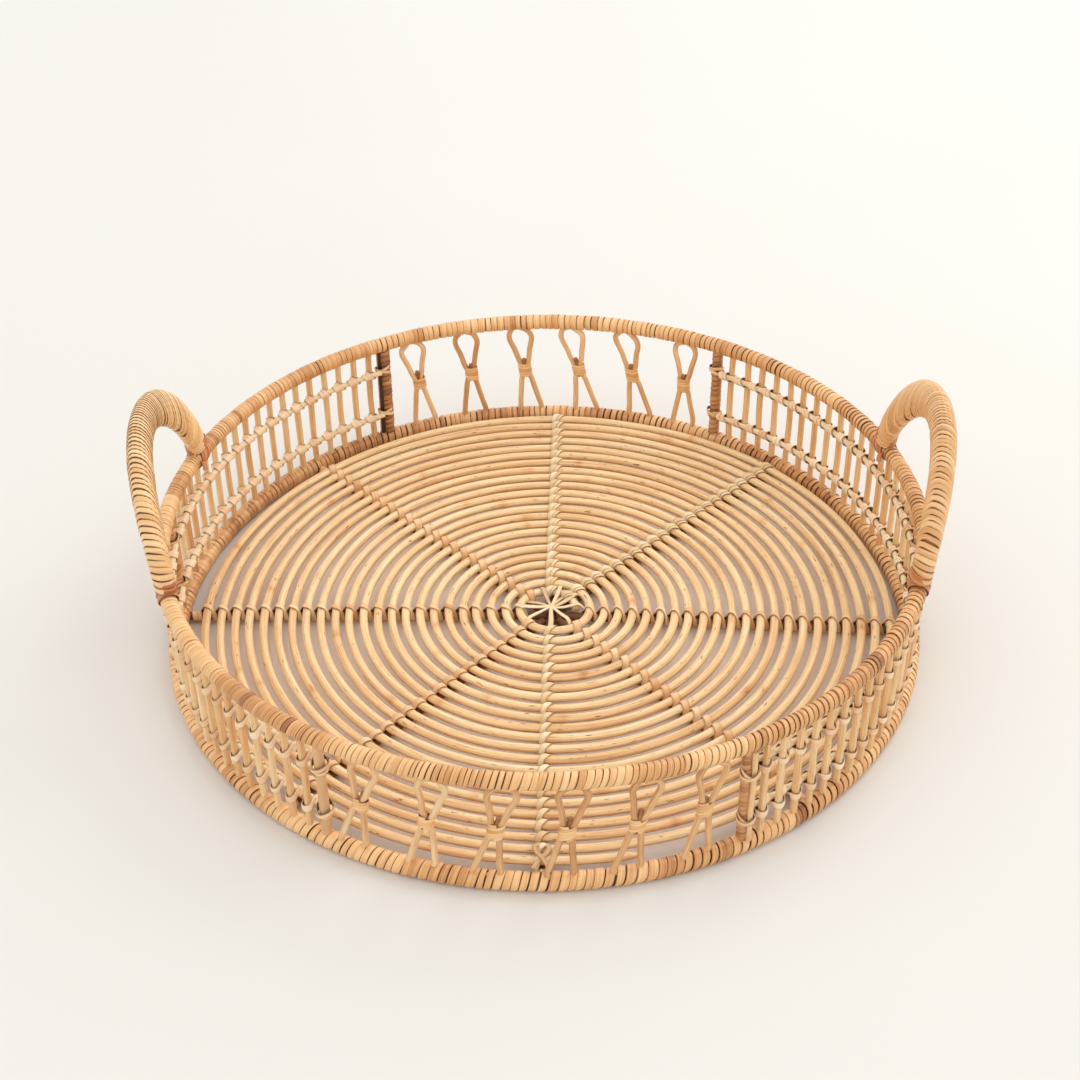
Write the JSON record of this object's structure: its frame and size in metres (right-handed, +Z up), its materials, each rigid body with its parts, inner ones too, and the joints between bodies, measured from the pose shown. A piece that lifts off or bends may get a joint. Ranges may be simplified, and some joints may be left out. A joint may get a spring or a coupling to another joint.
{
  "type": "serving tray",
  "caption": "Round rattan serving tray with a spiral cane base, an openwork wall and arched wrapped handles for carrying food and tableware.",
  "frame": {"origin": "on the table, under the middle of the tray", "axes": "+Z up, +X towards the right-hand handle, +Y towards the back"},
  "size_m": [0.4138, 0.4012, 0.1392],
  "materials": {
    "hoop_cane": "satin",
    "lower_hoop_peel": "satin, wound peel",
    "rim_peel": "satin, wound peel",
    "base_cane": "satin, lightly varnished cane",
    "spoke_cane": "satin, lightly varnished cane",
    "spoke_peel": "satin, lightly varnished cane",
    "hub_peel": "satin, lightly varnished cane",
    "post_cane": "satin, lightly varnished cane",
    "post_peel": "satin, lightly varnished cane",
    "fret_cane": "satin, lightly varnished cane",
    "fret_peel": "satin, lightly varnished cane",
    "stake_cane": "satin, lightly varnished cane",
    "pale_rod": "satin, lightly varnished cane",
    "lattice_peel": "satin, lightly varnished cane",
    "handle_cane": "satin, lightly varnished cane",
    "handle_peel": "satin, lightly varnished cane",
    "foot_peel": "satin, lightly varnished cane"
  },
  "bodies": {
    "root": {"lower_hoop": "hoop_cane", "rim_hoop": "hoop_cane", "lower_hoop_wrap": "lower_hoop_peel", "rim_hoop_wrap": "rim_peel", "base_coil": "base_cane", "spoke_rod_e_w": "spoke_cane", "spoke_rod_n_s": "spoke_cane", "spoke_rod_ne": "spoke_cane", "spoke_rod_nw": "spoke_cane", "spoke_rod_sw": "spoke_cane", "spoke_rod_se": "spoke_cane", "spoke_binding_e": "spoke_peel", "spoke_binding_ne": "spoke_peel", "spoke_binding_n": "spoke_peel", "spoke_binding_nw": "spoke_peel", "spoke_binding_w": "spoke_peel", "spoke_binding_sw": "spoke_peel", "spoke_binding_s": "spoke_peel", "spoke_binding_se": "spoke_peel", "hub_lashing": "hub_peel", "post_right": "post_cane", "post_back_right": "post_cane", "post_back_left": "post_cane", "post_left": "post_cane", "post_front_left": "post_cane", "post_front_right": "post_cane", "post_wraps_side": "post_peel", "post_wraps_corner": "post_peel", "fret_back_1": "fret_cane", "fret_back_2": "fret_cane", "fret_back_3": "fret_cane", "fret_back_4": "fret_cane", "fret_back_5": "fret_cane", "fret_back_6": "fret_cane", "fret_front_1": "fret_cane", "fret_front_2": "fret_cane", "fret_front_3": "fret_cane", "fret_front_4": "fret_cane", "fret_front_5": "fret_cane", "fret_front_6": "fret_cane", "fret_ties_back": "fret_peel", "fret_ties_front": "fret_peel", "stakes_back_right": "stake_cane", "stakes_back_left": "stake_cane", "stakes_front_left": "stake_cane", "stakes_front_right": "stake_cane", "lattice_rods_back_right": "pale_rod", "lattice_rods_back_left": "pale_rod", "lattice_rods_front_left": "pale_rod", "lattice_rods_front_right": "pale_rod", "lattice_lashing_back_right": "lattice_peel", "lattice_lashing_back_left": "lattice_peel", "lattice_lashing_front_left": "lattice_peel", "lattice_lashing_front_right": "lattice_peel", "handle_core_right": "handle_cane", "handle_core_left": "handle_cane", "handle_wrap_right": "handle_peel", "handle_wrap_left": "handle_peel", "handle_foot_ties_right": "foot_peel", "handle_foot_ties_left": "foot_peel"}
  },
  "joints": []
}
